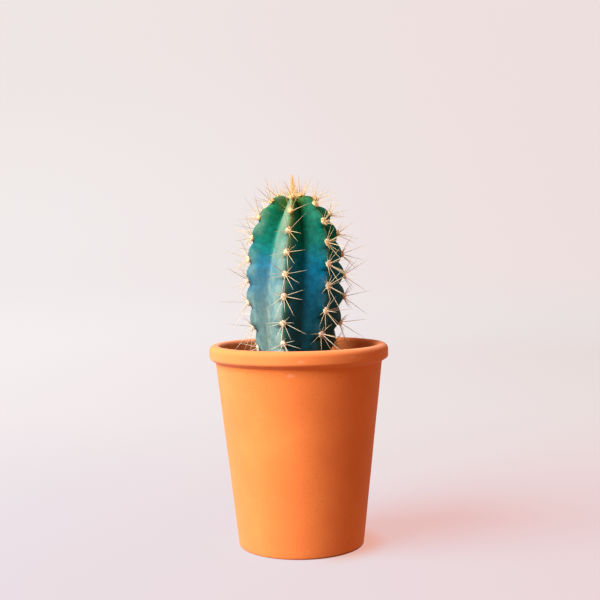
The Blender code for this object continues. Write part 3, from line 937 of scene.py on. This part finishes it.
def pumice_and_bark():
    """Loose grit on the mix: bark chips and peat crumbs with a few pale pumice grains."""
    material, add, where = new_material("pumice_and_bark")
    kind = add("ShaderNodeAttribute", attribute_name="kind")
    colour = add(
        "ShaderNodeValToRGB",
        {"Fac": kind.outputs["Fac"]},
        stops=[(0.0, "#22160E"), (0.45, "#4A3020"), (0.70, "#6E4A30"), (0.82, "#8D7156"), (0.93, "#CFC3B2")],
    )
    pores = add("ShaderNodeTexNoise", {"Vector": where, "Scale": 1 / GRAIN_PORE, "Detail": 2})
    bump = add("ShaderNodeBump", {"Height": pores.outputs["Fac"], "Strength": 0.6, "Distance": 0.0002})
    coat(material, colour.outputs["Color"], bump, {"Roughness": 0.9})
    return material


def flesh_colour(add, where, skin, on_flank):
    """The skin under the bloom: green at the tip and blue below, mottled, with a green band on each crest."""
    clouds = add(
        "ShaderNodeTexNoise", {"Vector": where, "Scale": 1 / SKIN_CLOUD, "Detail": 4, "Roughness": 0.6}
    )
    wavering = add(
        "ShaderNodeMath", {0: clouds.outputs["Fac"], 1: 0.16, 2: skin["growth"]}, operation="MULTIPLY_ADD"
    )
    flesh = add(
        "ShaderNodeValToRGB",
        {"Fac": wavering.outputs[0]},
        stops=[
            (0.12, "#3F6A2C"),
            (0.22, "#056345"),
            (0.37, "#016A5E"),
            (0.50, "#006688"),
            (0.62, "#02506A"),
            (0.75, "#043F4C"),
            (0.90, "#04323C"),
        ],
    )
    mottles = add(
        "ShaderNodeTexNoise", {"Vector": where, "Scale": 1 / SKIN_MOTTLE, "Detail": 5, "Roughness": 0.7}
    )
    mottle_tone = add(
        "ShaderNodeValToRGB", {"Fac": mottles.outputs["Fac"]}, stops=[(0.36, 0.72), (0.50, 1.0), (0.66, 1.35)]
    )
    mottled = add(
        "ShaderNodeMix",
        {0: 1.0, MIX_FROM: flesh.outputs["Color"], MIX_TO: mottle_tone.outputs["Color"]},
        **TINTS,
    )
    off_flank = add("ShaderNodeMath", {0: 1.0, 1: on_flank}, operation="SUBTRACT", use_clamp=True)
    band = skin["green_left"]
    for share in (skin["green_right"], off_flank.outputs[0], skin["rubbed"]):
        band = add("ShaderNodeMath", {0: band, 1: share}, **TIMES).outputs[0]
    crest_tone = add(
        "ShaderNodeValToRGB",
        {"Fac": skin["growth"]},
        stops=[(0.14, "#758C42"), (0.34, "#4C6642"), (0.55, "#275238")],
    )
    rubbed = add(
        "ShaderNodeMix",
        {0: band, MIX_FROM: mottled.outputs[MIXED], MIX_TO: crest_tone.outputs["Color"]},
        **COLOURS,
    )
    return rubbed.outputs[MIXED]


def bloom_and_light_share(add, where, skin, on_flank):
    """How much wax bloom is left: patchy and streaked, thin on crests, thicker with age and on the mounds. It
    is also laid thicker on flanks that face the window, where its paleness is painted light.
    """
    unworn = add("ShaderNodeMath", {0: 0.9, 1: skin["rubbed"]}, operation="SUBTRACT")
    off_crest = skin["bloom_left"]
    for share in (skin["bloom_right"], on_flank, unworn.outputs[0]):
        off_crest = add("ShaderNodeMath", {0: off_crest, 1: share}, **LARGER).outputs[0]

    patches = add(
        "ShaderNodeTexNoise", {"Vector": where, "Scale": 1 / BLOOM_PATCH, "Detail": 6, "Roughness": 0.65}
    )
    patchy = add("ShaderNodeValToRGB", {"Fac": patches.outputs["Fac"]}, stops=[(0.32, 0.50), (0.66, 1.0)])
    long_way = add("ShaderNodeMapping", {"Vector": where, "Scale": (1, 1, 0.09)})
    streaks = add(
        "ShaderNodeTexNoise",
        {"Vector": long_way.outputs[0], "Scale": 1 / BLOOM_STREAK, "Detail": 3, "Roughness": 0.6},
    )
    streaky = add("ShaderNodeValToRGB", {"Fac": streaks.outputs["Fac"]}, stops=[(0.36, 0.72), (0.64, 1.0)])
    broken = add(
        "ShaderNodeMix",
        {0: 1.0, MIX_FROM: patchy.outputs["Color"], MIX_TO: streaky.outputs["Color"]},
        **TINTS,
    )
    broken = broken.outputs[MIXED]

    # Thin bloom comes with age, and the thickest, on the flank that faces the window most, is there from the
    # start: painted light there as well as bloom
    aged = add("ShaderNodeMapRange", {"Value": skin["growth"], "From Min": 0.33, "From Max": 0.60})
    thickest_and_most_lit = add("ShaderNodeMath", {0: skin["bloom"], 1: 14.0}, operation="POWER")
    aged = add(
        "ShaderNodeMath", {0: aged.outputs[0], 1: thickest_and_most_lit.outputs[0]}, operation="ADD", use_clamp=True
    )
    bloom = off_crest
    for share in (broken, skin["bloom"], aged.outputs[0]):
        bloom = add("ShaderNodeMath", {0: bloom, 1: share}, **TIMES).outputs[0]

    # Each mound that carries an areole has a little more, and more again on flanks that face the window:
    # partly bloom, partly a painted highlight on the lit mounds
    phase = add("ShaderNodeMath", {0: skin["fall"], 1: 0.15}, operation="SUBTRACT")
    phase = add("ShaderNodeMath", {0: phase.outputs[0], 1: 1.0}, operation="PINGPONG")
    mound = add(
        "ShaderNodeMapRange", {"Value": phase.outputs[0], "From Min": 0.25, "From Max": 0.5}, **SMOOTH
    )
    on_mounds = mound.outputs[0]
    for share in (skin["by_crest"], off_crest, broken):
        on_mounds = add("ShaderNodeMath", {0: on_mounds, 1: share}, **TIMES).outputs[0]
    mound_share = add("ShaderNodeMath", {0: skin["bloom"], 1: 1.4, 2: 0.12}, operation="MULTIPLY_ADD")
    both = {0: on_mounds, 1: mound_share.outputs[0], 2: bloom}
    return add("ShaderNodeMath", both, operation="MULTIPLY_ADD", use_clamp=True).outputs[0]


def bloomed_cactus_skin():
    """Living cactus skin in a thin wax bloom: green at the growing tip, dusty blue below, dark if rubbed. Its
    bloom is laid thicker on flanks that face the window, a painted lightening of the lit side.
    """
    material, add, where = new_material("bloomed_cactus_skin")
    skin = {}
    for name in ("growth", "across", "from_crest", "fall", "rubbed", "bloom"):
        skin[name] = add("ShaderNodeAttribute", attribute_name=name).outputs["Fac"]
    for name, (measure, start, end, first, last) in SKIN_BANDS.items():
        reach = {"Value": skin[measure], "From Min": start, "From Max": end, "To Min": first, "To Max": last}
        skin[name] = add("ShaderNodeMapRange", reach, **SMOOTH).outputs[0]
    on_flank = add("ShaderNodeMapRange", {"Value": skin["from_crest"], "From Min": 0.38, "From Max": 0.55})
    on_flank = on_flank.outputs[0]
    bloom = bloom_and_light_share(add, where, skin, on_flank)
    wax = add(
        "ShaderNodeValToRGB",
        {"Fac": skin["growth"]},
        stops=[(0.14, "#6C8E72"), (0.28, "#6A8C78"), (0.38, "#688B82"), (0.55, "#739692"), (0.80, "#81A096")],
    )
    chalk = add("ShaderNodeMath", {0: skin["in_groove"], 1: bloom}, **TIMES)
    bloom_colour = add(
        "ShaderNodeMix",
        {0: chalk.outputs[0], MIX_FROM: wax.outputs["Color"], MIX_TO: linear("#93A391")},
        **COLOURS,
    )
    flesh = flesh_colour(add, where, skin, on_flank)
    # The bloom's pale tone, thicker where the window falls, is partly painted light
    bloomed_and_lit = add(
        "ShaderNodeMix", {0: bloom, MIX_FROM: flesh, MIX_TO: bloom_colour.outputs[MIXED]}, **COLOURS
    )
    cells = add("ShaderNodeTexNoise", {"Vector": where, "Scale": 1 / SKIN_CELL, "Detail": 3})
    bump = add("ShaderNodeBump", {"Height": cells.outputs["Fac"], "Strength": 0.18, "Distance": 0.0001})
    coat(material, bloomed_and_lit.outputs[MIXED], bump, {"Roughness": 0.55, "Specular IOR Level": 0.06})
    return material


def felted_wool():
    """Short matted plant hair: cream, soft and dull, yellower on young growth."""
    material, add, where = new_material("felted_wool")
    growth = add("ShaderNodeAttribute", attribute_name="growth")
    colour = add(
        "ShaderNodeValToRGB",
        {"Fac": growth.outputs["Fac"]},
        stops=[(0.02, "#EEC97C"), (0.25, "#EFD8A8"), (0.70, "#F3E6CE")],
    )
    strands = add("ShaderNodeTexNoise", {"Vector": where, "Scale": 1 / WOOL_STRAND, "Detail": 3})
    bump = add("ShaderNodeBump", {"Height": strands.outputs["Fac"], "Strength": 0.8, "Distance": 0.0002})
    coat(
        material,
        colour.outputs["Color"],
        bump,
        {
            "Roughness": 0.95,
            "Sheen Weight": 0.4,
            "Subsurface Weight": 0.6,
            "Subsurface Radius": (1.0, 0.8, 0.6),
            "Subsurface Scale": 0.0009,
        },
    )
    return material


def spine_horn():
    """Dry horny needles: cream to straw with a browner tip, golden and a little clearer on young growth."""
    material, add, _ = new_material("spine_horn")
    growth = add("ShaderNodeAttribute", attribute_name="growth")
    body = add(
        "ShaderNodeValToRGB",
        {"Fac": growth.outputs["Fac"]},
        stops=[(0.01, "#F8D48C"), (0.06, "#F4D9A0"), (0.30, "#F0DFAE"), (0.60, "#F2E9CC")],
    )
    along = add("ShaderNodeAttribute", attribute_name="along")
    tip = add("ShaderNodeValToRGB", {"Fac": along.outputs["Fac"]}, stops=[(0.60, 0.0), (1.0, 0.18)])
    colour = add(
        "ShaderNodeMix",
        {0: tip.outputs["Color"], MIX_FROM: body.outputs["Color"], MIX_TO: linear("#B58A50")},
        **COLOURS,
    )
    tint = add("ShaderNodeAttribute", attribute_name="tint")
    shade = add("ShaderNodeValToRGB", {"Fac": tint.outputs["Fac"]}, stops=[(0.0, 0.86), (1.0, 1.0)])
    weathered = add(
        "ShaderNodeMix", {0: 1.0, MIX_FROM: colour.outputs[MIXED], MIX_TO: shade.outputs["Color"]}, **TINTS
    )
    coat(
        material,
        weathered.outputs[MIXED],
        None,
        {"Roughness": 0.42, "Transmission Weight": 0.16, "IOR": 1.3},
    )
    return material


def matt_paper():
    """Seamless pale paper. It lights the object softly and warmly. Seen from the camera it glows with painted
    light and shade: paler to the left, pinker and darker to the right, with a painted warm bounce by the pot's
    shaded side. The window's shadow falls on it faintly.
    """
    material, add, where = new_material("matt_paper")
    place = add("ShaderNodeSeparateXYZ", {"Vector": where})
    share = {}
    for name, (axis, start, end) in PAPER_BLENDS.items():
        blend = add(
            "ShaderNodeMapRange",
            {"Value": place.outputs[axis], "From Min": start, "From Max": end},
            **SMOOTH,
        )
        share[name] = blend.outputs[0]
    # The glow that the camera sees is painted: lighter to the left and on the wall, darker and pinker to the
    # right in place of shade
    left_floor, right_floor, left_wall = (
        add("ShaderNodeMix", {0: amount, MIX_FROM: start, MIX_TO: end}, **COLOURS).outputs[MIXED]
        for amount, start, end in (
            (share["far"], PAPER_NEAR_LEFT, PAPER_FAR_LEFT),
            (share["far"], PAPER_NEAR_RIGHT, PAPER_FAR_RIGHT),
            (share["high"], linear("#F1EBEB"), linear("#EEE5E4")),
        )
    )
    floor, wall = (
        add("ShaderNodeMix", {0: share["right"], MIX_FROM: left, MIX_TO: right}, **COLOURS).outputs[MIXED]
        for left, right in ((left_floor, right_floor), (left_wall, linear("#EDDFDE")))
    )
    glow = add("ShaderNodeMix", {0: share["wall"], MIX_FROM: floor, MIX_TO: wall}, **COLOURS)
    # A painted warm bounce from the pot on the paper by its shaded side
    from_pot = add("ShaderNodeVectorMath", {0: where}, operation="LENGTH")
    by_foot = add(
        "ShaderNodeMapRange",
        {"Value": from_pot.outputs["Value"], "From Min": PAINTED_BOUNCE_FROM, "From Max": PAINTED_BOUNCE_TO},
        **SMOOTH,
    )
    warm = add("ShaderNodeMath", {0: by_foot.outputs[0], 1: share["shaded_side"]}, **TIMES)
    glow = add(
        "ShaderNodeMix", {0: warm.outputs[0], MIX_FROM: glow.outputs[MIXED], MIX_TO: PAINTED_BOUNCE_TINT}, **TINTS
    )
    takes = add(
        "ShaderNodeMix", {0: share["wall"], MIX_FROM: PAPER_TAKES_LIGHT, MIX_TO: (0, 0, 0, 1)}, **COLOURS
    )
    values = {"Emission Strength": 1.0, "Roughness": 1.0, "Specular IOR Level": 0.0}
    shader = coat(material, takes.outputs[MIXED], None, values)
    tree = material.node_tree
    tree.links.new(glow.outputs[MIXED], shader.inputs["Emission Color"])
    rays = add("ShaderNodeLightPath")
    fill = add("ShaderNodeEmission", {"Color": FILL_LIGHT, "Strength": 1.0})
    lit = add(
        "ShaderNodeMixShader", {0: rays.outputs["Is Diffuse Ray"], 1: shader.outputs[0], 2: fill.outputs[0]}
    )
    tree.links.new(lit.outputs[0], tree.nodes["Material Output"].inputs["Surface"])
    # Diffuse rays alone find the paper. Sampled as a lamp too, it left pale lines on the pot.
    material.cycles.emission_sampling = "NONE"
    return material


def make_backdrop():
    """A paper bowl: flat under the pot and swept up all round it."""
    sweep = [Vector((0, 0, 0)), Vector((SWEEP_START, 0, 0))]
    for step in range(1, SWEEP_STEPS + 1):
        turn = math.pi / 2 * step / SWEEP_STEPS
        out, up = SWEEP_RADIUS * math.sin(turn), SWEEP_RADIUS * (1 - math.cos(turn))
        sweep.append(Vector((SWEEP_START + out, 0, up)))
    sweep.append(sweep[-1] + Vector((0, 0, SWEEP_WALL)))
    bm = turned(sweep, SWEEP_SIDES, closed=False)
    bmesh.ops.reverse_faces(bm, faces=bm.faces)
    paper = finish_piece("paper_sweep", bm, matt_paper())
    paper.visible_shadow = False


def make_light():
    scene = bpy.context.scene
    scene.world = bpy.data.worlds.new("studio_air")
    scene.world.use_nodes = True
    air = scene.world.node_tree.nodes["Background"]
    air.inputs["Color"].default_value = FILL_LIGHT
    air.inputs["Strength"].default_value = 1.0
    sun = bpy.data.lights.new("window_light", "SUN")
    sun.energy = KEY_STRENGTH
    sun.angle = KEY_SOFTNESS
    made = bpy.data.objects.new("window_light", sun)
    scene.collection.objects.link(made)
    flat = math.cos(KEY_HEIGHT)
    towards = Vector((math.sin(KEY_SIDE) * flat, -math.cos(KEY_SIDE) * flat, math.sin(KEY_HEIGHT)))
    made.location = towards
    made.rotation_euler = towards.to_track_quat("Z", "Y").to_euler()
    scene.view_settings.view_transform = "Standard"
    scene.view_settings.look = "None"


make_camera()
make_light()
make_backdrop()
make_pot(fired_terracotta())
make_soil_bed(damp_potting_mix())
make_grit(pumice_and_bark())
make_stem(bloomed_cactus_skin())
make_wool(felted_wool())
make_spines(spine_horn())
